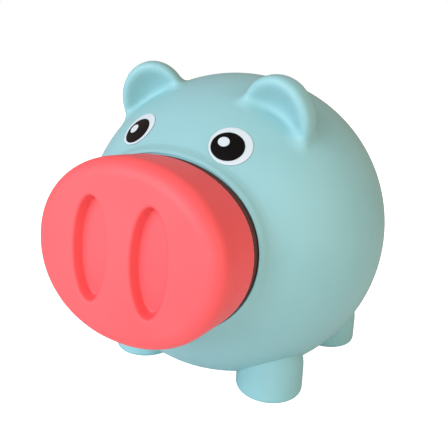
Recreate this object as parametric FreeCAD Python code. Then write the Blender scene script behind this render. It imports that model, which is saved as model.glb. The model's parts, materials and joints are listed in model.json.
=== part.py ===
import FreeCAD, Part
import math
import os

# Piggy bank with a large pull-off snout. Millimetres.
# +Z is up, the pig faces -Y, and its left side is +X.
# The origin is on the ground, midway between the sides and midway between snout and tail.

# ---- driving dimensions -------------------------------------------------------------
# Places are from the middle of the round body, straight down on the ground. The whole bank is
# moved back by body_back at the end, to put the origin under the middle of its length.

body_back = 7.3

# Body
body_radius = 70.0
belly_clearance = 4.1          # height of the flattened belly above the ground
body_centre_height = 65.4
wall = 3.0

# Snout. Its parts are drawn with their axis along Y, then tipped up about the body's centre.
snout_tilt = 3.8               # degrees that its face looks up
snout_half_width = 41.0
snout_half_height = 34.3
snout_axis_height = body_centre_height + 1.5
snout_front = -86.8
snout_edge_radius = 7.0
snout_wall = 2.5
snout_stand_off = 5.9          # the snout's rear rim follows the body this far ahead of it
snout_rear_limit = -45.0       # how far back its walls are drawn before the body's curve trims them
snout_front_limit = -90.0      # a plane clear of its face

# Muzzle: the low oval rise on the body behind the snout
muzzle_rise = 4.1
muzzle_margin = 1.5            # how far it shows round the snout
muzzle_lip_radius = 1.2

# Nostrils
nostril_offset = 13.0
nostril_half_width = 7.9
nostril_half_height = 19.7
nostril_depth = 4.6
nostril_draft = 1.4            # how much narrower the floor is, all round
nostril_wall = 2.2
nostril_cut_ahead = 0.5        # the cut starts this far ahead of the face

# Neck of the snout, its grip ring, and the socket in the body
neck_radius = 22.0
neck_wall = 2.4
neck_front = -74.4             # inside the back plate
neck_end = -54.5
back_plate_recess = 1.5
back_plate_thickness = 2.2
grip_groove_depth = 1.2
grip_groove_centre = -63.1
grip_groove_width = 3.2
grip_ring_width = 3.0
grip_ring_chamfer = 0.3
socket_bore_radius = 22.35
socket_outer_radius = 25.0
socket_end = -57.0
socket_front = -70.4
socket_front_flange_radius = 27.0
socket_front_flange_end = -66.0
socket_rear_flange_radius = 28.5
socket_rear_flange_end = -61.5
grip_ring_gap = 0.05           # radial gap between the grip ring and the socket

# Coin slot, along the spine
slot_width = 5.0
slot_length = 40.0
slot_centre_y = 21.0
slot_cut_depth = 20.0          # how far below the top of the back the cut reaches

# Ears: rounded thick discs with a dished front
ear_centre = FreeCAD.Vector(29.2, -28.5, body_centre_height + 54.4)
ear_turn = 18.0                # degrees that each ear's face turns towards the middle
ear_nod = 19.0                 # degrees that it nods down
ear_radius = 16.0
ear_thickness = 13.0
ear_rim_radius = 2.8
ear_back_radius = 5.5
ear_dish_radius = 11.4
ear_dish_depth = 5.0

# Feet: stubby thumbs that run up into the belly
foot_radius = 15.0
foot_shank = 12.5              # height of the straight part
foot_edge_radius = 1.8
front_foot_x = 34.4
front_foot_y = -23.8
rear_foot_x = 40.1
rear_foot_y = 37.4

# Tail: a small curl in relief on the back
tail_curl_radius = 6.0
tail_thickness = 3.2
tail_height = body_centre_height + 6.0
tail_sweep = 300.0
tail_end_radius = 2.4
tail_stand_off = 0.5           # the middle of its section is this far outside the body

# Eyes: thin printed layers on the body, each an ellipse seen square on.
# Each place is degrees round from the front (towards +X) and degrees up from the middle.
print_thickness = 0.25
white_size = (8.35, 8.1)
pupil_size = (6.35, 6.05)
glint_size = (2.25, 2.15)
left_eye = {"white": (24.1, 39.4), "pupil": (23.0, 39.0), "glint": (21.3, 40.3)}
right_eye = {"white": (-23.6, 41.5), "pupil": (-23.3, 40.6), "glint": (-25.6, 40.8)}

# ---- helpers ------------------------------------------------------------------------

X_AXIS = FreeCAD.Vector(1, 0, 0)
Y_AXIS = FreeCAD.Vector(0, 1, 0)
Z_AXIS = FreeCAD.Vector(0, 0, 1)
BODY_CENTRE = FreeCAD.Vector(0, 0, body_centre_height)
FAR = 200.0                    # beyond every part
TOUCH = 0.1                    # how near an edge must lie to a plane to be picked as on it


def ball(radius, forward=0.0):
    """A ball on the body's centre, moved forward (towards -Y)."""
    return Part.makeSphere(radius, BODY_CENTRE - Y_AXIS * forward)


def tilted(shape):
    """A shape drawn along Y, tipped up about the body's centre to the snout's own tilt."""
    return shape.rotated(BODY_CENTRE, X_AXIS, -snout_tilt)


def tube_along_y(radius, y_start, y_end):
    """A cylinder on the snout's axis between two planes."""
    base = FreeCAD.Vector(0, y_start, snout_axis_height)
    return Part.makeCylinder(radius, y_end - y_start, base, Y_AXIS)


def ring_along_y(outer, inner, y_start, y_end):
    """A plain ring on the snout's axis."""
    return tube_along_y(outer, y_start, y_end).cut(tube_along_y(inner, y_start, y_end))


def oval_wire(half_width, half_height, x, y, z):
    """An upright ellipse in a plane square to Y."""
    across = half_width >= half_height
    major = max(half_width, half_height)
    minor = min(half_width, half_height)
    ellipse = Part.Ellipse(FreeCAD.Vector(0, 0, 0), major, minor)
    edge = ellipse.toShape()
    if not across:
        edge.rotate(FreeCAD.Vector(0, 0, 0), Z_AXIS, 90)
    edge.rotate(FreeCAD.Vector(0, 0, 0), X_AXIS, 90)
    edge.translate(FreeCAD.Vector(x, y, z))
    return Part.Wire([edge])


def oval_prism(inset, y_start, y_end):
    """The snout's oval, smaller by inset all round, carried along Y."""
    wire = oval_wire(snout_half_width - inset, snout_half_height - inset, 0, y_start, snout_axis_height)
    return Part.Face(wire).extrude(Y_AXIS * (y_end - y_start))


def above(height):
    """Everything above a level."""
    corner = FreeCAD.Vector(-FAR, -FAR, height)
    return Part.makeBox(2 * FAR, 2 * FAR, 2 * FAR, corner)


def mirrored(shape):
    """The same shape on the pig's other side."""
    return shape.mirror(FreeCAD.Vector(0, 0, 0), X_AXIS)


def one_solid(shape):
    """The largest solid of a result, with its seams cleaned."""
    clean = shape.removeSplitter()
    return max(clean.Solids, key=lambda solid: solid.Volume)


# ---- body ---------------------------------------------------------------------------


def body_form(inset):
    """The round body with its muzzle and flattened belly, smaller by inset."""
    muzzle = oval_prism(inset - muzzle_margin, snout_front_limit, 0)
    muzzle = tilted(muzzle.common(ball(body_radius - inset, muzzle_rise)))
    form = ball(body_radius - inset).fuse(muzzle)
    return one_solid(form.common(above(belly_clearance + inset)))


def rounded_muzzle(form):
    """The body form with the muzzle's lip rounded."""
    side = snout_half_width + muzzle_margin
    foot_of_muzzle = -math.sqrt(body_radius ** 2 - side ** 2)
    rim = [edge for edge in form.Edges if edge.BoundBox.YMax < foot_of_muzzle - muzzle_rise / 2]
    return form.makeFillet(muzzle_lip_radius, rim)


def coin_slot_cutter():
    """A slot with round ends, straight down through the top of the back."""
    straight = slot_length - slot_width
    low = body_centre_height + body_radius - slot_cut_depth
    corner = FreeCAD.Vector(-slot_width / 2, slot_centre_y - straight / 2, low)
    cutter = Part.makeBox(slot_width, straight, 2 * slot_cut_depth, corner)
    for end in (-1, 1):
        base = FreeCAD.Vector(0, slot_centre_y + end * straight / 2, low)
        cutter = cutter.fuse(Part.makeCylinder(slot_width / 2, 2 * slot_cut_depth, base, Z_AXIS))
    return cutter


def make_body_shell(form):
    """The hollow body with the socket's hole in its muzzle and the coin slot in its back."""
    shell = form.cut(body_form(wall))
    shell = shell.cut(tilted(tube_along_y(socket_outer_radius, snout_front_limit, snout_rear_limit)))
    return one_solid(shell.cut(coin_slot_cutter()))


def make_neck_socket(form):
    """The rigid ring in the muzzle's hole: a guide tube held by a flange on each side of the wall."""
    tube = ring_along_y(socket_outer_radius, socket_bore_radius, socket_front, socket_end)
    front = ring_along_y(socket_front_flange_radius, socket_bore_radius,
                         socket_front, socket_front_flange_end)
    front = tilted(front).cut(form)
    rear = ring_along_y(socket_rear_flange_radius, socket_bore_radius, -body_radius, socket_rear_flange_end)
    rear = tilted(rear).common(body_form(wall))
    return one_solid(front.fuse([tilted(tube), rear]))


# ---- ears, feet, tail ---------------------------------------------------------------


def make_left_ear(form):
    """A thick disc with a round rim and a dished face, let into the side of the head."""
    disc = Part.makeCylinder(ear_radius, ear_thickness)
    face_rim = [edge for edge in disc.Edges if edge.BoundBox.ZMin > ear_thickness - TOUCH]
    disc = disc.makeFillet(ear_rim_radius, face_rim)
    back_rim = [edge for edge in disc.Edges if edge.BoundBox.ZMax < TOUCH]
    disc = disc.makeFillet(ear_back_radius, back_rim)
    dish_ball = (ear_dish_radius ** 2 + ear_dish_depth ** 2) / (2 * ear_dish_depth)
    dish_centre = FreeCAD.Vector(0, 0, ear_thickness + dish_ball - ear_dish_depth)
    disc = disc.cut(Part.makeSphere(dish_ball, dish_centre))
    disc.translate(FreeCAD.Vector(0, 0, -ear_thickness))
    disc.rotate(FreeCAD.Vector(0, 0, 0), X_AXIS, 90 + ear_nod)
    disc.rotate(FreeCAD.Vector(0, 0, 0), Z_AXIS, -ear_turn)
    disc.translate(ear_centre)
    return one_solid(disc.cut(form))


def make_foot(x, y, form):
    """A round shank with a domed top, cut to the belly it joins."""
    base = FreeCAD.Vector(x, y, 0)
    shank = Part.makeCylinder(foot_radius, foot_shank, base, Z_AXIS)
    sole = [edge for edge in shank.Edges if edge.BoundBox.ZMax < TOUCH]
    shank = shank.makeFillet(foot_edge_radius, sole)
    dome = Part.makeSphere(foot_radius, base + Z_AXIS * foot_shank).common(above(foot_shank))
    return one_solid(shank.fuse(dome).cut(form))


def make_tail(form):
    """An open curl of round section with rounded ends, lying against the back."""
    centre = FreeCAD.Vector(0, body_radius + tail_stand_off, tail_height)
    curl = Part.makeTorus(tail_curl_radius, tail_thickness, centre, Y_AXIS, -180, 180, tail_sweep)
    ends = [edge for edge in curl.Edges if edge.BoundBox.DiagonalLength < 3 * tail_thickness]
    curl = curl.makeFillet(tail_end_radius, ends)
    return one_solid(curl.cut(form))


# ---- snout --------------------------------------------------------------------------


def nostril_loft(x, grow, depth):
    """A tapered oval plug from just ahead of the snout's front to a given depth."""
    slope = nostril_draft / nostril_depth
    wires = []
    for y in (-nostril_cut_ahead, depth):
        inset = slope * y - grow
        wires.append(oval_wire(nostril_half_width - inset, nostril_half_height - inset,
                               x, snout_front + y, snout_axis_height))
    return Part.makeLoft(wires, True)


def make_snout_cap():
    """The oval tub: face, nostrils and side wall, open at the rear, its rim following the body."""
    block = oval_prism(0, snout_front, snout_rear_limit)
    face_edge = [edge for edge in block.Edges if edge.BoundBox.YMax < snout_front + TOUCH]
    block = block.makeFillet(snout_edge_radius, face_edge)
    cap = block.cut(oval_prism(snout_wall, snout_front + snout_wall, snout_rear_limit))
    for side in (-1, 1):
        boss = nostril_loft(side * nostril_offset, nostril_wall, nostril_depth + nostril_wall)
        cap = cap.fuse(boss.common(block))
    for side in (-1, 1):
        cap = cap.cut(nostril_loft(side * nostril_offset, 0, nostril_depth))
    return tilted(one_solid(cap.cut(ball(body_radius, snout_stand_off))))


def make_snout_back():
    """The curved plate that closes the tub, with the hollow neck that plugs into the body."""
    rear = snout_stand_off + back_plate_recess
    plate = oval_prism(snout_wall, snout_front_limit, snout_rear_limit)
    plate = plate.common(ball(body_radius, rear + back_plate_thickness))
    neck = ring_along_y(neck_radius, neck_radius - neck_wall, neck_front, neck_end)
    groove_start = grip_groove_centre - grip_groove_width / 2
    groove = ring_along_y(socket_bore_radius, neck_radius - grip_groove_depth,
                          groove_start, groove_start + grip_groove_width)
    plate = plate.cut(ball(body_radius, rear))
    return tilted(one_solid(plate.fuse(neck).cut(groove)))


def make_neck_grip_ring():
    """The soft ring in the neck's groove that grips the socket."""
    start = grip_groove_centre - grip_ring_width / 2
    end = start + grip_ring_width
    ring = ring_along_y(socket_bore_radius - grip_ring_gap, neck_radius - grip_groove_depth, start, end)
    outer = [edge for edge in ring.Edges if edge.BoundBox.XLength > 2 * neck_radius]
    return tilted(ring.makeChamfer(grip_ring_chamfer, outer))


# ---- eyes ---------------------------------------------------------------------------


def eye_layer(size, place, height):
    """One printed layer: an oval patch that follows the body from a height above its surface."""
    patch = Part.Face(Part.Wire([Part.Ellipse(FreeCAD.Vector(0, 0, 0), size[0], size[1]).toShape()]))
    column = patch.extrude(Z_AXIS * FAR)
    column.rotate(FreeCAD.Vector(0, 0, 0), X_AXIS, 90)
    column.rotate(FreeCAD.Vector(0, 0, 0), X_AXIS, -place[1])
    column.rotate(FreeCAD.Vector(0, 0, 0), Z_AXIS, place[0])
    column.translate(BODY_CENTRE)
    inner = ball(body_radius + height)
    outer = ball(body_radius + height + print_thickness)
    return one_solid(column.common(outer.cut(inner)))


def make_eye(side, places):
    """The white, the pupil on it and the glint on the pupil."""
    sizes = {"white": white_size, "pupil": pupil_size, "glint": glint_size}
    layers = {}
    for level, name in enumerate(sizes):
        layers[side + "_eye_" + name] = eye_layer(sizes[name], places[name], level * print_thickness)
    return layers


# ---- assembly -----------------------------------------------------------------------


def build():
    """Every node's solid by name."""
    form = rounded_muzzle(body_form(0))
    left_ear = make_left_ear(form)
    nodes = {
        "body_shell": make_body_shell(form),
        "neck_socket": make_neck_socket(form),
        "left_ear": left_ear,
        "right_ear": mirrored(left_ear),
        "tail": make_tail(form),
        "snout_cap": make_snout_cap(),
        "snout_back": make_snout_back(),
        "neck_grip_ring": make_neck_grip_ring(),
    }
    feet = {"front": (front_foot_x, front_foot_y), "rear": (rear_foot_x, rear_foot_y)}
    for end, (x, y) in feet.items():
        foot = make_foot(x, y, form)
        nodes[end + "_left_foot"] = foot
        nodes[end + "_right_foot"] = mirrored(foot)
    nodes.update(make_eye("left", left_eye))
    nodes.update(make_eye("right", right_eye))
    for shape in nodes.values():
        shape.translate(Y_AXIS * body_back)
    return nodes


os.makedirs("parts", exist_ok=True)
for node, shape in build().items():
    assert shape.isValid(), node
    shape.exportStep("parts/" + node + ".step")
    box = shape.optimalBoundingBox()
    print(f"{node:18s} {shape.Volume:10.1f} mm3  x {box.XMin:7.2f} {box.XMax:7.2f}"
          f"  y {box.YMin:7.2f} {box.YMax:7.2f}  z {box.ZMin:7.2f} {box.ZMax:7.2f}")
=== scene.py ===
import sys
import json
import logging
import math
from dataclasses import dataclass, field
from enum import Enum
from typing import Callable

import bpy
import numpy as np
from mathutils import Matrix, Vector


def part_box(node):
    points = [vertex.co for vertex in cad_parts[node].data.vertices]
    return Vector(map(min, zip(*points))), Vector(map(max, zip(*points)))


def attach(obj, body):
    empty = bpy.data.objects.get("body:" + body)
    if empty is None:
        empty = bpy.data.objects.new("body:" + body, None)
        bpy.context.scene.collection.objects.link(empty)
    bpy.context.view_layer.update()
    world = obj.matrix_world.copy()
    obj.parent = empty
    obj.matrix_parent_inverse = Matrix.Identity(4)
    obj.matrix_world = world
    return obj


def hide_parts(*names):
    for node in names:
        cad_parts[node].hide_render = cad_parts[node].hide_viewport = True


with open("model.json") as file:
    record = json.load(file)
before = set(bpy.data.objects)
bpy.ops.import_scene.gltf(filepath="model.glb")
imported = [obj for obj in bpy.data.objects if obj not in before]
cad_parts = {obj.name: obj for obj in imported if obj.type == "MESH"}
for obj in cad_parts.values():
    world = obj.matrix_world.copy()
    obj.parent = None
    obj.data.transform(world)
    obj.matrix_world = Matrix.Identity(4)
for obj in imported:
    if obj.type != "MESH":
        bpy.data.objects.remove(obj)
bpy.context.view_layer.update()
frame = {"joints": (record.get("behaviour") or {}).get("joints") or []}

LOG = logging.getLogger("piggy_bank")
MM = 0.001
TINY = 1e-9
BLOCK = 8
BLOCKS_AT_ONCE = 400
LONGEST_MOVE = 1.0 * MM
SAME_PLACE = 0.001 * MM
NOISE_MIDDLE = (0.3, 0.7)

Array = np.ndarray
Field = Callable[[Array], Array]
Colour = tuple[float, float, float]


class Rider(Enum):
    """The two bodies that pieces ride on."""

    BANK = "bank"
    SNOUT = "snout"


class Slot(Enum):
    """The record's material slots."""

    BODY = "body_vinyl"
    SNOUT = "snout_vinyl"
    SOCKET = "socket_plastic"
    GRIP = "grip_rubber"
    WHITE = "white_print"
    BLACK = "black_print"


# ---- distance fields ---------------------------------------------------------------


def smooth_union(a: Array, b: Array, blend: float) -> Array:
    """Joins two solids with a soft fillet.

    The lower of the two distances, less blend / 4 where they are equal. That fades out where they differ by
    blend.

    Args:
        a: Distances to the first solid.
        b: Distances to the second solid.
        blend: Width of the fillet in metres.

    Returns:
        Distances to the joined solid.
    """
    near = np.maximum(blend - np.abs(a - b), 0.0) / blend
    return np.minimum(a, b) - near * near * blend / 4


def smooth_common(a: Array, b: Array, blend: float) -> Array:
    """The common part of two solids, with its edge softened over a width of blend metres."""
    return -smooth_union(-a, -b, blend)


def round_common(a: Array, b: Array, radius: float) -> Array:
    """The common part of two solids, with a true round edge.

    Both distances are raised by the radius; where both are above nought the distance is the length of the
    pair, elsewhere the higher one, and the radius is then taken off again.

    Args:
        a: Distances to the first solid.
        b: Distances to the second solid.
        radius: Radius of the edge in metres.

    Returns:
        Distances to the common part.
    """
    up, vp = a + radius, b + radius
    outside = np.hypot(np.maximum(up, 0.0), np.maximum(vp, 0.0))
    return np.minimum(np.maximum(up, vp), 0.0) + outside - radius


@dataclass(frozen=True)
class Oval:
    """An upright oval, where (|x| / half_width) ** power + (|z| / half_height) ** power is one."""

    half_width: float
    half_height: float
    power: float = 2.0

    def distance(self, x: Array, z: Array) -> Array:
        """Distance to the oval in its plane: the root of that sum, less one, over the size of its slope.

        Args:
            x: Places across.
            z: Places up.

        Returns:
            Distances, negative inside.
        """
        across, up = np.abs(x) + TINY, np.abs(z) + TINY
        total = (across / self.half_width) ** self.power + (up / self.half_height) ** self.power
        level = total ** (1 / self.power)
        slope_x = across ** (self.power - 1) / self.half_width ** self.power
        slope_z = up ** (self.power - 1) / self.half_height ** self.power
        slope = np.hypot(slope_x, slope_z) * level ** (1 - self.power)
        return (level - 1) / slope

    def radius(self, angle: Array) -> Array:
        """How far the oval lies from its middle at each angle."""
        across, up = np.abs(np.cos(angle)) / self.half_width, np.abs(np.sin(angle)) / self.half_height
        return (across ** self.power + up ** self.power) ** (-1 / self.power)


def gradient(shape: Field, points: Array, reach: float = 0.04 * MM) -> Array:
    """Slope of a field at points, from the difference of its values a small reach to either side.

    Args:
        shape: The field.
        points: Places, one to a row.
        reach: Half of the distance between the two values.

    Returns:
        Slopes, one to a row.
    """
    steps = np.eye(3) * reach
    sides = [(shape(points + step) - shape(points - step)) / (2 * reach) for step in steps]
    return np.stack(sides, -1)


def settle(shape: Field, points: Array, rounds: int) -> Array:
    """Moves points onto a field's surface.

    Each round takes off the value times the slope over the slope squared.

    Args:
        shape: The field.
        points: Places near its surface.
        rounds: How many times.

    Returns:
        Places on the surface.
    """
    for _ in range(rounds):
        slope = gradient(shape, points)
        size = (slope ** 2).sum(-1) + TINY
        move = (shape(points) / size)[:, None] * slope
        points = points - np.clip(move, -LONGEST_MOVE, LONGEST_MOVE)
    return points


# ---- meshes ------------------------------------------------------------------------


@dataclass(frozen=True)
class Surface:
    """Corners and four-sided faces of one closed surface."""

    corners: Array
    faces: Array


def sampled(shape: Field, low: Array, step: float, blocks: Array) -> Array:
    """Values of a field on a regular grid, worked out only in the blocks near its surface.

    Each block's middle is tried first. Where the surface can't reach into a block, the whole block gets the
    middle's value.

    Args:
        shape: The field.
        low: Lowest corner of the grid.
        step: Distance between grid points.
        blocks: Number of blocks each way, each with BLOCK grid points along a side.

    Returns:
        Values, shaped as the grid.
    """
    size = BLOCK * step
    middles = [low[i] + size * (np.arange(blocks[i]) + 0.5) for i in range(3)]
    coarse = shape(np.stack(np.meshgrid(*middles, indexing="ij"), -1))
    values = coarse.repeat(BLOCK, 0).repeat(BLOCK, 1).repeat(BLOCK, 2)
    near = np.abs(coarse) < size
    inner = step * np.stack(np.meshgrid(*[np.arange(BLOCK)] * 3, indexing="ij"), -1)
    starts = low + size * np.argwhere(near)
    parts = np.array_split(starts, max(1, len(starts) // BLOCKS_AT_ONCE))
    fine = np.concatenate([shape(part[:, None, None, None, :] + inner) for part in parts])
    shaped = values.reshape(blocks[0], BLOCK, blocks[1], BLOCK, blocks[2], BLOCK).transpose(0, 2, 4, 1, 3, 5)
    shaped[near] = fine
    return values


def net(shape: Field, low: Array, high: Array, step: float) -> Surface:
    """The surface of a field as a net of four-sided faces.

    The space is a grid of cells. Each cell that the surface crosses gets one corner, at the middle of the
    places where its twelve edges cross the surface. Each grid edge that crosses it gets one face, between
    the four cells round that edge.

    Args:
        shape: The field.
        low: Lowest corner of the space.
        high: Highest corner of the space.
        step: Size of a cell.

    Returns:
        The net, facing outwards.
    """
    blocks = np.ceil((high - low) / (BLOCK * step)).astype(int) + 1
    values = sampled(shape, low, step, blocks)
    inside = values < 0
    offsets = np.array([(i, j, k) for i in (0, 1) for j in (0, 1) for k in (0, 1)])
    count = np.array(values.shape) - 1
    held = sum(inside[i:i + count[0], j:j + count[1], k:k + count[2]].astype(np.int8) for i, j, k in offsets)
    crossed = (held > 0) & (held < 8)
    cells = np.argwhere(crossed)
    total = np.zeros((len(cells), 3))
    hits = np.zeros(len(cells))
    for a in offsets:
        for axis in range(3):
            if a[axis]:
                continue
            b = a + np.eye(3, dtype=int)[axis]
            first = values[tuple((cells + a).T)]
            second = values[tuple((cells + b).T)]
            cut = (first < 0) != (second < 0)
            share = np.where(cut, first / np.where(cut, first - second, 1.0), 0.0)
            total += cut[:, None] * (a + share[:, None] * (b - a))
            hits += cut
    corners = low + step * (cells + total / hits[:, None])
    number = np.full(tuple(count), -1)
    number[crossed] = np.arange(len(cells))
    faces = [edge_faces(inside, number, axis) for axis in range(3)]
    return Surface(corners, np.concatenate(faces))


def edge_faces(inside: Array, number: Array, axis: int) -> Array:
    """The faces of a net that stand round the grid edges along one axis.

    Args:
        inside: Which grid points are inside.
        number: Each cell's corner number.
        axis: The axis that the edges lie along.

    Returns:
        Corner numbers, four to a face.
    """
    along, u, v = np.eye(3, dtype=int)[[axis, (axis + 1) % 3, (axis + 2) % 3]]
    limit = np.array(number.shape)
    window = tuple(slice(1, n) for n in limit)
    shifted = tuple(slice(1 + a, n + a) for a, n in zip(along, limit))
    crossing = inside[window] != inside[shifted]
    start = np.argwhere(crossing) + 1
    outward = inside[tuple(start.T)]
    ring = [number[tuple((start - shift).T)] for shift in (0 * u, u, u + v, v)]
    faces = np.stack(ring, -1)
    return np.where(outward[:, None], faces, faces[:, ::-1])


def relaxed(surface: Surface, shape: Field, rounds: int) -> Surface:
    """Evens out a net.

    Each corner moves half way to the mean of the corners beside it, then back to the surface.

    Args:
        surface: The net.
        shape: The field that it follows.
        rounds: How many times.

    Returns:
        The net with its corners moved.
    """
    corners = surface.corners
    ends = np.concatenate([surface.faces[:, [i, (i + 1) % 4]] for i in range(4)])
    count = np.bincount(ends[:, 0], minlength=len(corners))[:, None]
    for _ in range(rounds):
        mean = np.stack([np.bincount(ends[:, 0], corners[ends[:, 1], i], len(corners)) for i in range(3)], -1)
        corners = settle(shape, (corners + mean / count) / 2, 1)
    return Surface(settle(shape, corners, 2), surface.faces)


def once_round(columns: int) -> Array:
    """Even angles once round a circle."""
    return np.linspace(0, 2 * math.pi, columns, endpoint=False)


def grid_faces(rows: int, columns: int, closed_rows: bool) -> Array:
    """Faces of a grid whose columns run round a closed loop.

    Args:
        rows: Number of rows.
        columns: Number of columns.
        closed_rows: Whether the last row joins the first.

    Returns:
        Corner numbers, four to a face.
    """
    span = rows if closed_rows else rows - 1
    row, column = np.meshgrid(np.arange(span), np.arange(columns), indexing="ij")
    after, beside = (row + 1) % rows, (column + 1) % columns
    first, second = row * columns, after * columns
    quad = [first + column, first + beside, second + beside, second + column]
    return np.stack(quad, -1).reshape(-1, 4)


def rounded_profile(points: list[tuple[float, float, float]], steps: int = 6) -> Array:
    """An open or closed profile with its corners rounded.

    At each point the profile leaves its line a leg's length before the corner and follows the curve
    (1 - t)^2 start + 2 t (1 - t) corner + t^2 end to a leg's length along the next line.

    Args:
        points: Distance from the axis, place along it, and the corner's leg, which is 0 for a sharp corner
            and at the two ends of an open profile.
        steps: Points round each corner.

    Returns:
        Distance from the axis and place along it, one to a row.
    """
    places = np.array(points)[:, :2]
    parts = []
    for i, (_, _, leg) in enumerate(points):
        if leg == 0:
            parts.append(places[i:i + 1])
            continue
        before, after = places[i - 1] - places[i], places[(i + 1) % len(points)] - places[i]
        start = places[i] + before / np.linalg.norm(before) * leg
        end = places[i] + after / np.linalg.norm(after) * leg
        t = np.linspace(0, 1, steps)[:, None]
        parts.append((1 - t) ** 2 * start + 2 * t * (1 - t) * places[i] + t ** 2 * end)
    return np.concatenate(parts)


# ---- layout ------------------------------------------------------------------------


@dataclass(frozen=True)
class Layout:
    """Where the body's middle is, which way the snout's axis points, and the snout's oval about it."""

    centre: Array
    radius: float
    forward: Array
    lift: float = 1.5 * MM
    snout: Oval = Oval(41.0 * MM, 34.3 * MM, 2.08)

    @classmethod
    def from_cad(cls) -> "Layout":
        """Reads the layout from the body shell's box and the snout's joint."""
        low, high = (np.array(corner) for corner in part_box("body_shell"))
        radius = (high[0] - low[0]) / 2
        centre = np.array([0.0, high[1] - radius, high[2] - radius])
        forward = np.array(frame["joints"][0]["axis"], float)
        return cls(centre, radius, forward / np.linalg.norm(forward))

    @property
    def up(self) -> Array:
        """The direction square to the snout's axis, upwards."""
        return np.array([0.0, self.forward[2], -self.forward[1]])

    def local(self, points: Array) -> tuple[Array, Array, Array]:
        """Splits places, from the body's middle, into across, along the snout's axis (forward) and up."""
        away = points - self.centre
        return away[..., 0], away @ self.forward, away @ self.up

    def world(self, across: Array, along: Array, up: Array) -> Array:
        """Places from across, along and up, the reverse of local."""
        side = np.array([1.0, 0.0, 0.0])
        return (self.centre + across[..., None] * side + along[..., None] * self.forward
                + up[..., None] * self.up)

    def ahead(self, radius: Array, angle: Array, distance: Array | float) -> Array:
        """Places along the axis a distance ahead of the ball.

        The root of the ball's radius squared less the offset squared, plus the distance.

        Args:
            radius: Distances from the snout's middle.
            angle: Angles about it.
            distance: How far ahead.

        Returns:
            Places along the axis.
        """
        across, up = radius * np.cos(angle), self.lift + radius * np.sin(angle)
        return distance + np.sqrt(self.radius ** 2 - across ** 2 - up ** 2)

    def carried(self, radius: Array, angle: Array, along: Array) -> Surface:
        """A closed grid carried round the snout's middle.

        Args:
            radius: Distances from the middle, a row for each point of the profile.
            angle: Angles about it, one to a column.
            along: Places along the axis, shaped as radius.

        Returns:
            The grid.
        """
        points = self.world(radius * np.cos(angle), along, self.lift + radius * np.sin(angle))
        return Surface(points.reshape(-1, 3), grid_faces(len(radius), angle.size, True))


# ---- finishes ----------------------------------------------------------------------


def linear(colour: Colour) -> tuple[float, float, float, float]:
    """Display colour, 0 to 255, as the linear colour that shaders take."""
    shares = np.array(colour) / 255
    values = np.where(shares <= 0.04045, shares / 12.92, ((shares + 0.055) / 1.055) ** 2.4)
    return (*map(float, values), 1.0)


def spread_noise(tree: bpy.types.NodeTree, entry: bpy.types.Node, scale: str, detail: float,
                 roughness: float) -> tuple[bpy.types.Node, bpy.types.Node]:
    """Puts a noise in a group, and a range that spreads its middle values from 0 to 1.

    Args:
        tree: The group.
        entry: The group's input node.
        scale: Name of the input that sets the noise's scale.
        detail: How many finer layers the noise has.
        roughness: How strong they are.

    Returns:
        The noise and the range.
    """
    noise, spread = tree.nodes.new("ShaderNodeTexNoise"), tree.nodes.new("ShaderNodeMapRange")
    noise.inputs["Detail"].default_value = detail
    noise.inputs["Roughness"].default_value = roughness
    spread.inputs["From Min"].default_value, spread.inputs["From Max"].default_value = NOISE_MIDDLE
    tree.links.new(entry.outputs["Vector"], noise.inputs["Vector"])
    tree.links.new(entry.outputs[scale], noise.inputs["Scale"])
    tree.links.new(noise.outputs["Fac"], spread.inputs["Value"])
    return noise, spread


def moulded_grain() -> bpy.types.NodeTree:
    """The group that gives moulded surfaces their fine grain and slow change of colour.

    Fine noise gives the grain's height and roughness. Broad noise moves the colour between the two given.

    Returns:
        The node group.
    """
    name = "moulded_grain"
    if name in bpy.data.node_groups:
        return bpy.data.node_groups[name]
    tree = bpy.data.node_groups.new(name, "ShaderNodeTree")
    sockets = (("Vector", "NodeSocketVector"), ("Color", "NodeSocketColor"),
               ("Deep Color", "NodeSocketColor"),
               ("Grain Scale", "NodeSocketFloat"), ("Cloud Scale", "NodeSocketFloat"),
               ("Smoothest", "NodeSocketFloat"), ("Roughest", "NodeSocketFloat"))
    for title, kind in sockets:
        tree.interface.new_socket(title, in_out="INPUT", socket_type=kind)
    results = (("Color", "NodeSocketColor"), ("Roughness", "NodeSocketFloat"), ("Height", "NodeSocketFloat"))
    for title, kind in results:
        tree.interface.new_socket(title, in_out="OUTPUT", socket_type=kind)
    nodes, links = tree.nodes, tree.links
    entry, leave = nodes.new("NodeGroupInput"), nodes.new("NodeGroupOutput")
    grain, sheen = spread_noise(tree, entry, "Grain Scale", detail=3.0, roughness=0.55)
    _, spread = spread_noise(tree, entry, "Cloud Scale", detail=2.0, roughness=0.5)
    blend = nodes.new("ShaderNodeMix")
    blend.data_type = "RGBA"
    links.new(spread.outputs["Result"], blend.inputs["Factor"])
    links.new(entry.outputs["Color"], blend.inputs["A"])
    links.new(entry.outputs["Deep Color"], blend.inputs["B"])
    links.new(entry.outputs["Smoothest"], sheen.inputs["To Min"])
    links.new(entry.outputs["Roughest"], sheen.inputs["To Max"])
    links.new(blend.outputs["Result"], leave.inputs["Color"])
    links.new(sheen.outputs["Result"], leave.inputs["Roughness"])
    links.new(grain.outputs["Fac"], leave.inputs["Height"])
    return tree


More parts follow.
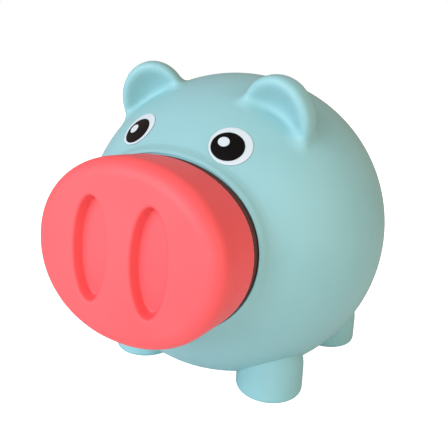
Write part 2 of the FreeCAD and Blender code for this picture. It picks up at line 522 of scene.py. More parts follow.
@dataclass(frozen=True)
class Finish:
    """One moulded or printed finish: two close colours, a grain, and a range of roughness."""

    name: str
    slot: Slot
    colour: Colour
    deep: Colour
    grain_scale: float = 1500.0
    cloud_scale: float = 30.0
    smoothest: float = 0.42
    roughest: float = 0.58
    bump: float = 0.25
    bump_depth: float = 0.08 * MM
    specular: float = 0.4

    def material(self) -> bpy.types.Material:
        """Builds the material once, and gives the same one after that.

        Returns:
            The material.
        """
        if self.name in bpy.data.materials:
            return bpy.data.materials[self.name]
        material = bpy.data.materials.new(self.name)
        material.use_nodes = True
        nodes, links = material.node_tree.nodes, material.node_tree.links
        shader = nodes["Principled BSDF"]
        place = nodes.new("ShaderNodeTexCoord")
        group = nodes.new("ShaderNodeGroup")
        group.node_tree = moulded_grain()
        group.inputs["Color"].default_value = linear(self.colour)
        group.inputs["Deep Color"].default_value = linear(self.deep)
        group.inputs["Grain Scale"].default_value = self.grain_scale
        group.inputs["Cloud Scale"].default_value = self.cloud_scale
        group.inputs["Smoothest"].default_value = self.smoothest
        group.inputs["Roughest"].default_value = self.roughest
        bump = nodes.new("ShaderNodeBump")
        bump.inputs["Strength"].default_value = self.bump
        bump.inputs["Distance"].default_value = self.bump_depth
        links.new(place.outputs["Object"], group.inputs["Vector"])
        links.new(group.outputs["Color"], shader.inputs["Base Color"])
        links.new(group.outputs["Roughness"], shader.inputs["Roughness"])
        links.new(group.outputs["Height"], bump.inputs["Height"])
        links.new(bump.outputs["Normal"], shader.inputs["Normal"])
        shader.inputs["Specular IOR Level"].default_value = self.specular
        material.diffuse_color = linear(self.colour)
        return material


AQUA_VINYL = Finish("aqua_vinyl", Slot.BODY, (134, 184, 187), (129, 179, 182), specular=0.3)
CORAL_VINYL = Finish("coral_vinyl", Slot.SNOUT, (227, 88, 91), (223, 82, 85), specular=0.3)
SOCKET_PLASTIC = Finish("moulded_socket", Slot.SOCKET, (214, 222, 222), (204, 213, 214), smoothest=0.32,
                        roughest=0.45)
GRIP_RUBBER = Finish("soft_grip", Slot.GRIP, (58, 60, 62), (50, 52, 54), smoothest=0.7, roughest=0.85)
# Dark brown of the shaded gap round the snout's rim: painted shade, not a rubber seal.
PAINTED_GAP_SHADE = Finish("painted_gap_shade", Slot.GRIP, (86, 60, 56), (78, 54, 50), smoothest=0.7, roughest=0.85,
                     specular=0.2)
WHITE_PRINT = Finish("printed_white", Slot.WHITE, (190, 206, 210), (186, 202, 206), smoothest=0.4,
                     roughest=0.5, bump=0.12)
BLACK_PRINT = Finish("printed_black", Slot.BLACK, (6, 6, 7), (3, 3, 4), smoothest=0.4, roughest=0.5,
                     bump=0.12, specular=0.12)


# ---- entering pieces ---------------------------------------------------------------


def enter(name: str, surface: Surface, normals: Array, finish: Finish, rider: Rider,
          nodes: tuple[str, ...]) -> bpy.types.Object:
    """Makes one piece from its surface, dresses it and lets it ride.

    Args:
        name: The piece's name.
        surface: Its corners and faces.
        normals: The way that it faces at each corner.
        finish: What it is made of.
        rider: The body that it rides on.
        nodes: The CAD nodes that it stands for.

    Returns:
        The piece.
    """
    mesh = bpy.data.meshes.new(name)
    mesh.from_pydata(surface.corners.tolist(), [], clean_faces(surface.faces))
    mesh.shade_smooth()
    mesh.normals_split_custom_set_from_vertices(normals.tolist())
    mesh.materials.append(finish.material())
    piece = bpy.data.objects.new(name, mesh)
    bpy.context.scene.collection.objects.link(piece)
    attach(piece, rider.value)
    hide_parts(*nodes)
    LOG.info("%s: %d corners, %d triangles", name, len(mesh.vertices), triangle_count(mesh))
    return piece


def triangle_count(mesh: bpy.types.Mesh) -> int:
    """How many triangles a mesh's faces make."""
    return len(mesh.loops) - 2 * len(mesh.polygons)


def unit(slopes: Array) -> Array:
    """Slopes brought to a length of one."""
    return slopes / (np.linalg.norm(slopes, axis=1, keepdims=True) + TINY ** 2)


def field_normals(surface: Surface, shape: Field) -> Array:
    """True normals at the corners of a surface that follows a field: the way that its slope points."""
    return unit(gradient(shape, surface.corners))


def area_normals(surface: Surface) -> Array:
    """Normals at a grid's corners that keep its flats flat right up to their edges.

    Each face counts by its area: its share is the cross product of its two diagonals.

    Args:
        surface: The grid.

    Returns:
        Unit normals, one to a corner.
    """
    corners, faces = surface.corners, surface.faces
    first, second = corners[faces[:, 2]] - corners[faces[:, 0]], corners[faces[:, 3]] - corners[faces[:, 1]]
    share = np.cross(first, second).repeat(4, 0)
    total = [np.bincount(faces.reshape(-1), share[:, i], len(corners)) for i in range(3)]
    return unit(np.stack(total, -1))


def enter_grid(name: str, grid: Surface, finish: Finish, rider: Rider,
               nodes: tuple[str, ...]) -> bpy.types.Object:
    """Enters a piece made on a grid, with normals from its faces."""
    return enter(name, grid, area_normals(grid), finish, rider, nodes)


def merged(surface: Surface) -> Surface:
    """Closes a grid's poles: corners in the same place become one, and flat faces become triangles or go.

    Args:
        surface: The grid.

    Returns:
        The closed surface, whose pole faces repeat one corner.
    """
    keys = np.round(surface.corners / SAME_PLACE).astype(np.int64)
    _, first, number = np.unique(keys, axis=0, return_index=True, return_inverse=True)
    return Surface(surface.corners[first], number.reshape(-1)[surface.faces])


def clean_faces(faces: Array) -> list[list[int]]:
    """Faces as lists, with a corner that is repeated kept once."""
    same = faces == np.roll(faces, 1, axis=1)
    whole = faces[~same.any(1)].tolist()
    short = faces[same.sum(1) == 1]
    return whole + short[~same[same.sum(1) == 1]].reshape(-1, 3).tolist()


def thinned(surface: Surface, shape: Field, triangles: int) -> Surface:
    """Fewer, larger triangles where the surface is even, down to a given number, put back on the field.

    Args:
        surface: The net.
        shape: Its field.
        triangles: How many triangles to keep.

    Returns:
        The thinned surface. Its faces are triangles.
    """
    mesh = bpy.data.meshes.new("thinning")
    mesh.from_pydata(surface.corners.tolist(), [], surface.faces.tolist())
    holder = bpy.data.objects.new("thinning", mesh)
    bpy.context.scene.collection.objects.link(holder)
    reducer = holder.modifiers.new("fewer", "DECIMATE")
    reducer.ratio = triangles / triangle_count(mesh)
    reducer.use_collapse_triangulate = True
    result = holder.evaluated_get(bpy.context.evaluated_depsgraph_get()).to_mesh()
    corners = np.empty(len(result.vertices) * 3)
    result.vertices.foreach_get("co", corners)
    faces = np.empty(len(result.loops), np.int32)
    result.loops.foreach_get("vertex_index", faces)
    bpy.data.objects.remove(holder)
    bpy.data.meshes.remove(mesh)
    return Surface(settle(shape, corners.reshape(-1, 3), 2), faces.reshape(-1, 3))


# ---- body --------------------------------------------------------------------------


@dataclass
class Ear:
    """A thick oval disc with a domed back, a soft rim and a dished front that faces forward."""

    node: str
    side: float
    shift: tuple[float, float, float]
    inset: tuple[float, float, float] = (17.7 * MM, 6.1 * MM, 17.9 * MM)
    turn: float = math.radians(21)
    nod: float = math.radians(17)
    half_width: float = 14.6 * MM
    half_height: float = 17.2 * MM
    depth: float = 13.5 * MM
    straight: float = 3.0 * MM
    power: float = 2.6
    rim: float = 4.6 * MM
    dish_half_width: float = 10.6 * MM
    dish_half_height: float = 13.0 * MM
    dish_depth: float = 5.6 * MM
    dish_slope: float = 1.4

    @property
    def place(self) -> Array:
        """Middle of the ear's face, from the outer, front and top sides of its CAD box."""
        low, high = (np.array(corner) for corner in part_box(self.node))
        outer = high[0] if self.side > 0 else -low[0]
        across, deep, down = self.inset
        return np.array([outer - across, low[1] + deep, high[2] - down]) + np.array(self.shift)

    def solid(self, points: Array) -> Array:
        """Distances to the ear.

        The oval is carried back a little way, then closed by a dome whose depth and oval follow one power
        curve. The front plane cuts it with a soft rim, and an egg-shaped hollow is taken out of it. The ear
        on the other side is the same with its sideways places turned over.

        Args:
            points: Places.

        Returns:
            Distances.
        """
        away = np.stack([points[..., 0] * self.side, points[..., 1], points[..., 2]], -1) - self.place
        turn, nod = self.turn, self.nod
        face = np.array([-math.sin(turn) * math.cos(nod), -math.cos(turn) * math.cos(nod), -math.sin(nod)])
        across = np.array([math.cos(turn), -math.sin(turn), 0.0])
        top = np.cross(across, -face)
        r, u, w = away @ across, away @ top, away @ face
        back = np.minimum(w + self.straight, 0.0)
        oval = np.hypot(r / self.half_width, u / self.half_height) + TINY
        level = (oval ** self.power + np.abs(back / self.depth) ** self.power) ** (1 / self.power)
        disc = (level - 1) * self.half_width
        dish_level = np.sqrt((r / self.dish_half_width) ** 2 + (u / self.dish_half_height) ** 2
                             + (w / self.dish_depth) ** 2)
        dish = (dish_level - 1) * self.dish_depth * self.dish_slope
        return smooth_common(smooth_common(disc, w, self.rim), -dish, self.rim)


@dataclass
class BodySkin:
    """The hollow body in one skin with its ears and tail, its coin slot and the snout's hole."""

    layout: Layout
    wall: float = 3.0 * MM
    belly_blend: float = 5.0 * MM
    hole_radius: float = 29.0 * MM
    hole_edge: float = 0.6 * MM
    slot_half_width: float = 2.5 * MM
    slot_half_length: float = 20.0 * MM
    slot_middle: float = 21.0 * MM
    slot_lip: float = 1.4 * MM
    ear_root: float = 3.6 * MM
    left_ear_shift: tuple[float, float, float] = (0.6 * MM, -4.8 * MM, -2.4 * MM)
    left_ear_turn: float = math.radians(8)
    left_ear_width: float = 15.4 * MM
    right_ear_shift: tuple[float, float, float] = (0.0, 0.0, 0.4 * MM)
    tail_radius: float = 6.0 * MM
    tail_half_thickness: float = 3.2 * MM
    tail_start: float = math.radians(150)
    tail_sweep: float = math.radians(300)
    tail_root: float = 1.6 * MM
    step: float = 0.8 * MM
    quick_step: float = 1.7 * MM
    margin: float = 12.0 * MM
    triangles: int = 190000
    belly: float = field(init=False)
    ears: list["Ear"] = field(init=False)
    tail_place: Array = field(init=False)

    def __post_init__(self) -> None:
        """Takes the belly's level and the tail's place from the CAD, and sets up the ears."""
        centre = self.layout.centre
        self.belly = centre[2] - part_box("body_shell")[0][2]
        left = Ear("left_ear", 1.0, self.left_ear_shift, turn=self.left_ear_turn,
                   half_width=self.left_ear_width)
        self.ears = [left, Ear("right_ear", -1.0, self.right_ear_shift)]
        low, high = (np.array(corner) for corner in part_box("tail"))
        outer = self.tail_radius + self.tail_half_thickness
        self.tail_place = np.array([0.0, high[1] - self.tail_half_thickness, low[2] + outer]) - centre

    def form(self, points: Array, inset: float) -> Array:
        """The ball with its flat belly.

        Args:
            points: Places.
            inset: How far inside the outer skin.

        Returns:
            Distances.
        """
        away = points - self.layout.centre
        ball = np.linalg.norm(away, axis=-1) - self.layout.radius + inset
        return smooth_common(ball, -(away[..., 2] + self.belly - inset), self.belly_blend)

    def tail(self, points: Array) -> Array:
        """An open curl of round section: the distance to an arc, less half the thickness."""
        away = points - self.layout.centre - self.tail_place
        middle = self.tail_start + self.tail_sweep / 2
        angle = np.arctan2(away[..., 2], away[..., 0]) - middle
        angle = (angle + math.pi) % (2 * math.pi) - math.pi
        held = np.clip(angle, -self.tail_sweep / 2, self.tail_sweep / 2) + middle
        x = away[..., 0] - self.tail_radius * np.cos(held)
        z = away[..., 2] - self.tail_radius * np.sin(held)
        return np.sqrt(x ** 2 + away[..., 1] ** 2 + z ** 2) - self.tail_half_thickness

    def coin_slot(self, points: Array) -> Array:
        """A slot with round ends: the distance to a line along the back, less half the width."""
        away = points - self.layout.centre
        straight = self.slot_half_length - self.slot_half_width
        beyond = np.maximum(np.abs(away[..., 1] - self.slot_middle) - straight, 0.0)
        slot = np.hypot(away[..., 0], beyond) - self.slot_half_width
        return np.maximum(slot, -away[..., 2])

    def skin(self, points: Array) -> Array:
        """The whole body: the form, ears and tail joined, less the hollow, the slot and the hole."""
        outer = self.form(points, 0.0)
        for ear in self.ears:
            outer = smooth_union(outer, ear.solid(points), self.ear_root)
        outer = smooth_union(outer, self.tail(points), self.tail_root)
        shell = np.maximum(outer, -self.form(points, self.wall))
        across, along, up = self.layout.local(points)
        hole = np.maximum(np.hypot(across, up - self.layout.lift) - self.hole_radius, -along)
        shell = smooth_common(shell, -hole, self.hole_edge)
        return smooth_common(shell, -self.coin_slot(points), self.slot_lip)

    def build(self) -> bpy.types.Object:
        """Nets the skin, evens it out, thins it and enters it.

        Returns:
            The body's piece.
        """
        step = self.step
        reach = self.layout.radius + self.margin
        low, high = self.layout.centre - reach, self.layout.centre + reach
        surface = relaxed(net(self.skin, low, high, step), self.skin, 2)
        surface = thinned(surface, self.skin, self.triangles)
        nodes = ("body_shell", "left_ear", "right_ear", "tail")
        normals = field_normals(surface, self.skin)
        return enter("body_skin", surface, normals, AQUA_VINYL, Rider.BANK, nodes)


@dataclass
class Muzzle:
    """The oval rise behind the snout: a soft swelling, a fine lip, a groove that holds a dark ring of painted
    shade, and a flat.
    """

    layout: Layout
    rise: float = 4.1 * MM
    hole_radius: float = 25.05 * MM
    flange_radius: float = 29.0 * MM
    flange_seat: float = 64.6 * MM
    skirt: float = 5.6 * MM
    swelling: float = 4.6 * MM
    swelling_round: float = 1.6 * MM
    spread: float = 3.0
    lip_outside: float = 1.4 * MM
    lip_inside: float = 0.0
    lip_round: float = 0.4 * MM
    shoulder: float = 0.5 * MM
    shoulder_drop: float = 0.7 * MM
    groove_level: float = 0.7 * MM
    side_share: float = 0.74
    top_share: float = 0.28
    groove_inside: float = -4.2 * MM
    cover: float = 0.02 * MM
    sunk: float = 1.0 * MM
    bevel: float = 0.3 * MM
    corner_steps: int = 8
    flat_rings: int = 12
    columns: int = 320

    def build(self) -> bpy.types.Object:
        """Carries a closed profile round the snout's oval.

        The profile gives, for each row, how far it lies outside the oval and how far ahead of the ball. Above
        the groove's floor the lip's heights are scaled, least at the top, and the slope outside it is widest
        at the bottom. Towards the middle the oval changes evenly into the socket's circle.

        Returns:
            The muzzle.
        """
        angle = once_round(self.columns)
        sin, oval = np.sin(angle), self.layout.snout.radius(angle)
        lip, inside, bevel = self.lip_round, self.groove_inside, self.bevel
        ring = rounded_profile([
            (self.skirt, -self.sunk, 0), (self.swelling, self.cover, bevel),
            (self.swelling - self.swelling_round - 2 * bevel, self.cover, self.swelling_round),
            (self.lip_outside, self.rise - self.shoulder_drop, self.shoulder),
            (self.lip_inside + bevel / 2, self.rise, lip), (self.lip_inside, self.groove_level, lip),
            (inside, self.groove_level, lip), (inside - bevel, self.rise, lip),
            (inside - 2 * lip, self.rise, 0)], self.corner_steps)
        offset, height = ring[:, :1], ring[:, 1:]
        lip_share = self.side_share - (self.side_share - self.top_share) * np.maximum(sin, 0.0) ** 2
        scaled = self.groove_level + (height - self.groove_level) * lip_share
        outer = (offset > inside / 2) & (height > self.groove_level)
        slope = np.maximum(offset - self.lip_outside, 0.0) * self.spread * ((1 - sin) / 2) ** 2
        share = np.linspace(1, 0, self.flat_rings)[1:, None]
        flat = share * (oval + inside - 2 * lip) + (1 - share) * self.hole_radius
        front_radius = np.concatenate([oval + offset + slope, flat])
        front_height = np.concatenate([np.where(outer, scaled, height), np.full(flat.shape, self.rise)])
        seat_radius = np.repeat([[self.hole_radius], [self.flange_radius]], self.columns, 1)
        seat = np.full(seat_radius.shape, self.flange_seat)
        front = self.layout.ahead(front_radius, angle, front_height)
        under = self.layout.ahead(oval, angle, -2 * self.sunk)
        grid = self.layout.carried(np.concatenate([front_radius, seat_radius, oval[None]]), angle,
                                   np.concatenate([front, seat, under[None]]))
        return enter_grid("muzzle_skin", grid, AQUA_VINYL, Rider.BANK, ())


@dataclass
class Foot:
    """One stubby foot, turned about its own upright axis, its dome inside the belly."""

    node: str
    sole_round: float = 2.8 * MM
    sole_hollow: float = 0.5 * MM
    taper: float = 0.3 * MM
    shank: float = 12.5 * MM
    pad_inset: float = 6.16 * MM
    side_steps: int = 10
    pad_rings: int = 8
    dome_rings: int = 14
    columns: int = 96

    def build(self) -> bpy.types.Object:
        """Carries the foot's profile round: hollow sole, rounded edge, straight side, dome.

        Returns:
            The foot.
        """
        low, high = (np.array(corner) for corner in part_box(self.node))
        middle = (low + high) / 2
        radius = (high[0] - low[0]) / 2
        pad = radius - self.pad_inset
        side = rounded_profile([
            (pad, self.sole_hollow, 0), (pad + self.sole_round / 2, 0, self.sole_round / 3),
            (radius, 0, self.sole_round), (radius - self.taper, self.shank, 0)], self.side_steps)
        across = np.linspace(0, pad, self.pad_rings)[:-1]
        centre = np.column_stack([across, np.full(across.size, self.sole_hollow)])
        lean = np.linspace(0, math.pi / 2, self.dome_rings)[1:]
        dome = (radius - self.taper) * np.column_stack([np.cos(lean), np.sin(lean)]) + (0.0, self.shank)
        profile = np.concatenate([centre, side, dome])
        profile[0, 0] = 0.0
        profile[-1, 0] = 0.0
        angle = once_round(self.columns)
        r, z = profile[:, :1], profile[:, 1:]
        points = np.stack([middle[0] + r * np.cos(angle), middle[1] + r * np.sin(angle),
                           low[2] + z + 0 * angle], -1)
        grid = Surface(points.reshape(-1, 3), grid_faces(len(profile), self.columns, False))
        return enter_grid(self.node + "_skin", merged(grid), AQUA_VINYL, Rider.BANK, (self.node,))


@dataclass
class EyeLayer:
    """One printed layer of an eye, a thin oval patch that follows the round body."""

    layout: Layout
    node: str
    half_width: float
    half_height: float
    level: int
    finish: Finish
    thickness: float = 0.25 * MM
    rings: int = 14
    back_rings: int = 4
    columns: int = 96

    def build(self) -> bpy.types.Object:
        """Lays rings of an oval on the ball: out over the top, down the edge and back underneath.

        Each ring is the oval times its share. Its height above the ball falls to nought round the edge. A
        place is the patch's direction plus the ring's offset in the two directions square to it, at the
        radius that the height gives.

        Returns:
            The layer.
        """
        low, high = (np.array(corner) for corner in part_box(self.node))
        facing = (low + high) / 2 - self.layout.centre
        facing = facing / np.linalg.norm(facing)
        side = np.cross([0.0, 0.0, 1.0], facing)
        side = side / np.linalg.norm(side)
        up = np.cross(facing, side)
        top = self.level * self.thickness + self.thickness
        floor = self.level * self.thickness - self.thickness / 2
        edge = self.thickness / 2
        share = np.concatenate([np.linspace(0, 1, self.rings), np.linspace(1, 0, self.back_rings)])
        inset = np.zeros(share.size)
        inset[self.rings - 1] = edge
        height = np.concatenate([np.full(self.rings, top), [top - edge], np.full(self.back_rings - 1, floor)])
        angle = once_round(self.columns)
        a = share[:, None] * (self.half_width - inset[:, None]) * np.cos(angle)
        b = share[:, None] * (self.half_height - inset[:, None]) * np.sin(angle)
        radius = self.layout.radius + height[:, None]
        out = np.sqrt(radius ** 2 - a ** 2 - b ** 2)
        points = self.layout.centre + a[..., None] * side + b[..., None] * up + out[..., None] * facing
        grid = Surface(points.reshape(-1, 3), grid_faces(share.size, self.columns, False)[:, ::-1])
        return enter_grid(self.node + "_skin", merged(grid), self.finish, Rider.BANK, (self.node,))


@dataclass
class Eyes:
    """Both eyes: on each a white, a pupil and a glint."""

    layout: Layout
    white: tuple[float, float] = (8.35 * MM, 8.1 * MM)
    pupil: tuple[float, float] = (6.35 * MM, 6.05 * MM)
    glint: tuple[float, float] = (2.25 * MM, 2.15 * MM)

    def build(self) -> None:
        """Builds the three layers of each eye."""
        layers = (("white", self.white, WHITE_PRINT), ("pupil", self.pupil, BLACK_PRINT),
                  ("glint", self.glint, WHITE_PRINT))
        for side in ("left", "right"):
            for level, (name, (half_width, half_height), finish) in enumerate(layers):
                EyeLayer(self.layout, f"{side}_eye_{name}", half_width, half_height, level, finish).build()


# ---- snout -------------------------------------------------------------------------


@dataclass
class SnoutCap:
    """The snout's oval tub: a face with two sunk nostrils, and a wall whose rim follows the body."""

    layout: Layout
    reach: float = 86.8 * MM
    face_round: float = 6.6 * MM
    wall: float = 2.5 * MM
    stand_off: float = 5.9 * MM
    rim_round: float = 0.6 * MM
    nostril_offset: float = 13.0 * MM
    nostril: Oval = Oval(7.9 * MM, 19.7 * MM)
    nostril_depth: float = 4.6 * MM
    nostril_draft: float = 0.3
    nostril_floor_round: float = 0.9 * MM
    nostril_rim: float = 1.0 * MM
    nostril_wall: float = 2.2 * MM
    inner_edge: float = 0.6 * MM
    margin: float = 3.0 * MM
    step: float = 0.62 * MM
    quick_step: float = 1.2 * MM

    def nostrils(self, points: Array, grow: float) -> Array:
        """Both nostrils as tapered oval plugs.

        The oval shrinks by the draft times the depth below the face, and the floor meets the wall in a
        round edge.

        Args:
            points: Places.
            grow: How far outside the nostril's own surface.

        Returns:
            Distances.
        """
        across, along, up = self.layout.local(points)
        depth = self.reach - along
        oval = self.nostril.distance(np.abs(across) - self.nostril_offset, up - self.layout.lift)
        wall = (oval + self.nostril_draft * depth) / math.hypot(1.0, self.nostril_draft)
        return round_common(wall - grow, depth - self.nostril_depth - grow, self.nostril_floor_round)

    def skin(self, points: Array) -> Array:
        """The tub: an oval bar with a round front edge, less the ball behind, its hollow and the nostrils."""
        across, along, up = self.layout.local(points)
        oval = self.layout.snout.distance(across, up - self.layout.lift)
        block = round_common(oval, along - self.reach, self.face_round)
        ball = self.layout.radius - np.sqrt(across ** 2 + (along - self.stand_off) ** 2 + up ** 2)
        block = round_common(block, np.maximum(ball, -along), self.rim_round)
        hollow = round_common(oval + self.wall, along - self.reach + self.wall, self.face_round - self.wall)
        hollow = np.maximum(hollow, -self.nostrils(points, self.nostril_wall))
        tub = smooth_common(block, -hollow, self.inner_edge)
        return smooth_common(tub, -self.nostrils(points, 0.0), self.nostril_rim)

    def build(self) -> bpy.types.Object:
        """Nets the tub, evens it out and enters it.

        Returns:
            The tub.
        """
        low, high = (np.array(corner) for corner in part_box("snout_cap"))
        step = self.step
        surface = relaxed(net(self.skin, low - self.margin, high + self.margin, step), self.skin, 2)
        normals = field_normals(surface, self.skin)
        return enter("snout_cap_skin", surface, normals, CORAL_VINYL, Rider.SNOUT, ("snout_cap",))


@dataclass
class SnoutGapShade:
    """A dark ring behind the tub's rim, standing in the muzzle's groove: painted shade for the shadowed gap
    between snout and body, not a real seal.
    """

    layout: Layout
    outer: float = -0.5 * MM
    inner: float = -3.4 * MM
    front: float = 6.6 * MM
    end: float = 1.2 * MM
    edge: float = 0.4 * MM
    columns: int = 256

    def build(self) -> bpy.types.Object:
        """Carries a closed profile round the tub's oval, at its distance ahead of the ball.

        Returns:
            The ring of painted shade.
        """
        angle = once_round(self.columns)
        ring = rounded_profile([(self.inner, self.front, self.edge), (self.inner, self.end, self.edge),
                                (self.outer, self.end, self.edge), (self.outer, self.front, self.edge)])
        radius = self.layout.snout.radius(angle) + ring[:, :1]
        grid = self.layout.carried(radius, angle, self.layout.ahead(radius, angle, ring[:, 1:]))
        # The ring takes the dark brown of the gap's shadow: painted shade.
        return enter_grid("snout_gap_shade", grid, PAINTED_GAP_SHADE, Rider.SNOUT, ())


@dataclass
class TurnedRing:
    """A closed ring turned about the snout's axis."""

    layout: Layout
    name: str
    profile: list[tuple[float, float, float]]
    finish: Finish
    rider: Rider
    nodes: tuple[str, ...]
    columns: int = 128

    def build(self) -> bpy.types.Object:
        """Carries the closed profile round the axis.

        Returns:
            The ring.
        """
        profile = rounded_profile(self.profile)
        grid = self.layout.carried(profile[:, :1], once_round(self.columns), profile[:, 1:])
        return enter_grid(self.name, grid, self.finish, self.rider, self.nodes)


@dataclass
class SnoutBack:
    """The curved plate that closes the tub, and the hollow neck behind it with its ring's groove."""

    layout: Layout
    plate: Oval = Oval(38.4 * MM, 31.7 * MM, 2.08)
    plate_rings: int = 18
    recess: float = 7.4 * MM
    thickness: float = 2.2 * MM
    neck_radius: float = 22.0 * MM
    neck_wall: float = 2.4 * MM
    neck_front: float = 77.4 * MM
    neck_end: float = 54.5 * MM
    groove_front: float = 64.7 * MM
    groove_end: float = 61.5 * MM
    groove_depth: float = 1.2 * MM
    edge: float = 0.4 * MM
    columns: int = 128

    def build(self) -> bpy.types.Object:
        """Carries one closed profile round: neck, plate's rear face, its edge, its front face, neck's bore.

        On the plate, each ring lies between the neck's circle and the tub's oval by its share, at the place
        along the axis that the ball gives.

        Returns:
            The piece.
        """
        angle = once_round(self.columns)
        oval = self.plate.radius(angle)
        inner = self.neck_radius - self.neck_wall
        groove = self.neck_radius - self.groove_depth
        neck = rounded_profile([
            (inner, self.neck_end, self.edge), (self.neck_radius, self.neck_end, 1.5 * self.edge),
            (self.neck_radius, self.groove_end, self.edge / 2), (groove, self.groove_end, self.edge / 2),
            (groove, self.groove_front, self.edge / 2), (self.neck_radius, self.groove_front, self.edge / 2)])
        radius = np.repeat(neck[:, :1], self.columns, 1)
        along = np.repeat(neck[:, 1:], self.columns, 1)
        share = np.linspace(0, 1, self.plate_rings)[:, None]
        rear = self.neck_radius + share * (oval - self.neck_radius)
        front = inner + share[::-1] * (oval - inner)
        rear_along = self.layout.ahead(rear, angle, self.recess)
        front_along = self.layout.ahead(front, angle, self.recess + self.thickness)
        grid = self.layout.carried(np.concatenate([radius, rear, front]), angle,
                                   np.concatenate([along, rear_along, front_along]))
        return enter_grid("snout_back_skin", grid, CORAL_VINYL, Rider.SNOUT, ("snout_back",))


@dataclass
class NeckParts:
    """The socket in the muzzle and the soft ring on the neck."""

    layout: Layout
    bore: float = 22.35 * MM
    tube: float = 25.0 * MM
    front_flange: float = 27.0 * MM
    rear_flange: float = 28.4 * MM
    front: float = 70.4 * MM
    front_seat: float = 68.9 * MM
    rear_seat: float = 64.6 * MM
    rear_flange_end: float = 61.5 * MM
    end: float = 57.0 * MM
    edge: float = 0.6 * MM
    ring_outer: float = 22.30 * MM
    ring_inner: float = 20.8 * MM
    ring_front: float = 64.6 * MM
    ring_end: float = 61.6 * MM
    ring_edge: float = 0.5 * MM

    def build(self) -> None:
        """Turns the socket and the ring."""
        small = self.edge / 3
        socket = [
            (self.bore, self.front, self.edge), (self.bore, self.end, self.edge),
            (self.tube, self.end, self.edge), (self.tube, self.rear_flange_end, small),
            (self.rear_flange, self.rear_flange_end, self.edge), (self.rear_flange, self.rear_seat, small),
            (self.tube, self.rear_seat + self.edge, small), (self.tube, self.front_seat, small),
            (self.front_flange, self.front_seat, small), (self.front_flange, self.front, self.edge)]
        inner, outer, round_edge = self.ring_inner, self.ring_outer, self.ring_edge
        ring = [(inner, self.ring_front, round_edge), (inner, self.ring_end, round_edge),
                (outer, self.ring_end, round_edge), (outer, self.ring_front, round_edge)]
        for node, profile, finish, rider in (("neck_socket", socket, SOCKET_PLASTIC, Rider.BANK),
                                             ("neck_grip_ring", ring, GRIP_RUBBER, Rider.SNOUT)):
            TurnedRing(self.layout, node + "_skin", profile, finish, rider, (node,)).build()


# ---- studio ------------------------------------------------------------------------


@dataclass(frozen=True)
class SoftLight:
    """A square soft light: where it hangs from the body's middle, its power, its sides and its colour."""

    name: str
    place: tuple[float, float, float]
    power: float
    size: float
    colour: Colour


SOFT_LIGHTS = (
    SoftLight("key", (-0.35, -0.95, 0.45), 12.0, 0.7, (0.857, 0.865, 1.0)),
    SoftLight("front_fill", (0.45, -0.95, 0.25), 3.5, 0.5, (0.74, 0.92, 1.0)),
    SoftLight("side_fill", (1.0, -0.2, 0.35), 3.5, 0.8, (1.0, 0.8, 0.6)),
)


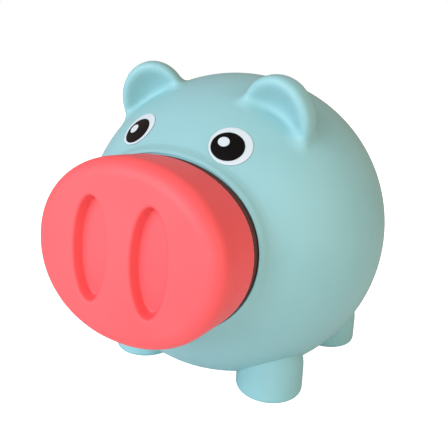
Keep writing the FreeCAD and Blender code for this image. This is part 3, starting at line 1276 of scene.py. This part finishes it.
@dataclass
class Studio:
    """A pale floor, soft light and the camera."""

    layout: Layout
    floor_half: float = 6.0
    azimuth: float = math.radians(27.314)
    elevation: float = math.radians(16.109)
    distance_in_radii: float = 3.627
    roll: float = math.radians(3.381)
    aim_right: float = 0.0204
    aim_up: float = 0.0037
    lens: float = 41.83
    sky_strength: float = 0.51
    sky_colour: Colour = (1.0, 0.735, 0.61)
    floor_glow: float = 0.9

    def floor(self) -> None:
        """Lays the floor: a plain square of white card, which glows a little to the camera only."""
        half = self.floor_half
        corners = np.array([(-half, -half, 0), (half, -half, 0), (half, half, 0), (-half, half, 0)])
        mesh = bpy.data.meshes.new("floor")
        mesh.from_pydata(corners.tolist(), [], [(0, 1, 2, 3)])
        material = bpy.data.materials.new("white_card")
        material.use_nodes = True
        nodes, links = material.node_tree.nodes, material.node_tree.links
        shader, path = nodes["Principled BSDF"], nodes.new("ShaderNodeLightPath")
        glow = nodes.new("ShaderNodeMath")
        shader.inputs["Base Color"].default_value = (0.85, 0.85, 0.85, 1.0)
        shader.inputs["Roughness"].default_value = 0.9
        shader.inputs["Emission Color"].default_value = (1.0, 1.0, 1.0, 1.0)
        glow.operation = "MULTIPLY"
        glow.inputs[1].default_value = self.floor_glow
        links.new(path.outputs["Is Camera Ray"], glow.inputs[0])
        links.new(glow.outputs["Value"], shader.inputs["Emission Strength"])
        mesh.materials.append(material)
        floor = bpy.data.objects.new("floor", mesh)
        bpy.context.scene.collection.objects.link(floor)

    def sky(self) -> None:
        """An even white light from all round, seen as pure white behind the bank."""
        world = bpy.data.worlds.new("studio_white")
        world.use_nodes = True
        nodes, links = world.node_tree.nodes, world.node_tree.links
        light, seen = nodes["Background"], nodes.new("ShaderNodeBackground")
        light.inputs["Color"].default_value = (*self.sky_colour, 1.0)
        light.inputs["Strength"].default_value = self.sky_strength
        seen.inputs["Color"].default_value = (1.0, 1.0, 1.0, 1.0)
        seen.inputs["Strength"].default_value = 1.0
        path, mix = nodes.new("ShaderNodeLightPath"), nodes.new("ShaderNodeMixShader")
        links.new(path.outputs["Is Camera Ray"], mix.inputs["Fac"])
        links.new(light.outputs["Background"], mix.inputs[1])
        links.new(seen.outputs["Background"], mix.inputs[2])
        links.new(mix.outputs["Shader"], nodes["World Output"].inputs["Surface"])
        bpy.context.scene.world = world
        bpy.context.scene.view_settings.view_transform = "Standard"

    def soft_light(self, light: "SoftLight") -> None:
        """Hangs one square soft light that faces the body's middle.

        Args:
            light: What to hang and where.
        """
        data = bpy.data.lights.new(light.name, "AREA")
        data.energy = light.power
        data.size = light.size
        data.color = light.colour
        lamp = bpy.data.objects.new(light.name, data)
        lamp.location = Vector(self.layout.centre) + Vector(light.place)
        lamp.rotation_euler = (-Vector(light.place)).to_track_quat("-Z", "Y").to_euler()
        bpy.context.scene.collection.objects.link(lamp)

    def camera(self) -> None:
        """Sets the camera on a ray from the body's middle, rolled, and turned a little off that middle."""
        a, e, roll = self.azimuth, self.elevation, self.roll
        back = np.array([math.sin(a) * math.cos(e), -math.cos(a) * math.cos(e), math.sin(e)])
        right = np.array([math.cos(a), math.sin(a), 0.0])
        up = np.cross(back, right)
        rows = np.stack([right * math.cos(roll) + up * math.sin(roll),
                         up * math.cos(roll) - right * math.sin(roll), back])
        aim = Vector((self.aim_right, self.aim_up, -1.0)).normalized()
        swing = np.array(Vector((0.0, 0.0, -1.0)).rotation_difference(aim).to_matrix())
        turned = swing @ rows
        data = bpy.data.cameras.new("camera")
        data.lens = self.lens
        data.sensor_width = 36.0
        camera = bpy.data.objects.new("camera", data)
        place = self.layout.centre + back * self.distance_in_radii * self.layout.radius
        camera.matrix_world = Matrix.Translation(Vector(place)) @ Matrix(turned.T.tolist()).to_4x4()
        bpy.context.scene.collection.objects.link(camera)
        bpy.context.scene.camera = camera

    def build(self) -> None:
        """Builds the floor, the lights and the camera."""
        self.floor()
        self.sky()
        for light in SOFT_LIGHTS:
            self.soft_light(light)
        self.camera()


def main() -> None:
    """Builds every piece round the CAD frame, then the studio."""
    logging.basicConfig(level=logging.INFO, format="%(name)s %(message)s", stream=sys.stdout)
    layout = Layout.from_cad()
    BodySkin(layout).build()
    Muzzle(layout).build()
    for end in ("front", "rear"):
        for side in ("left", "right"):
            Foot(f"{end}_{side}_foot").build()
    Eyes(layout).build()
    SnoutCap(layout).build()
    SnoutGapShade(layout).build()
    SnoutBack(layout).build()
    NeckParts(layout).build()
    Studio(layout).build()


if __name__ == "__main__":
    main()
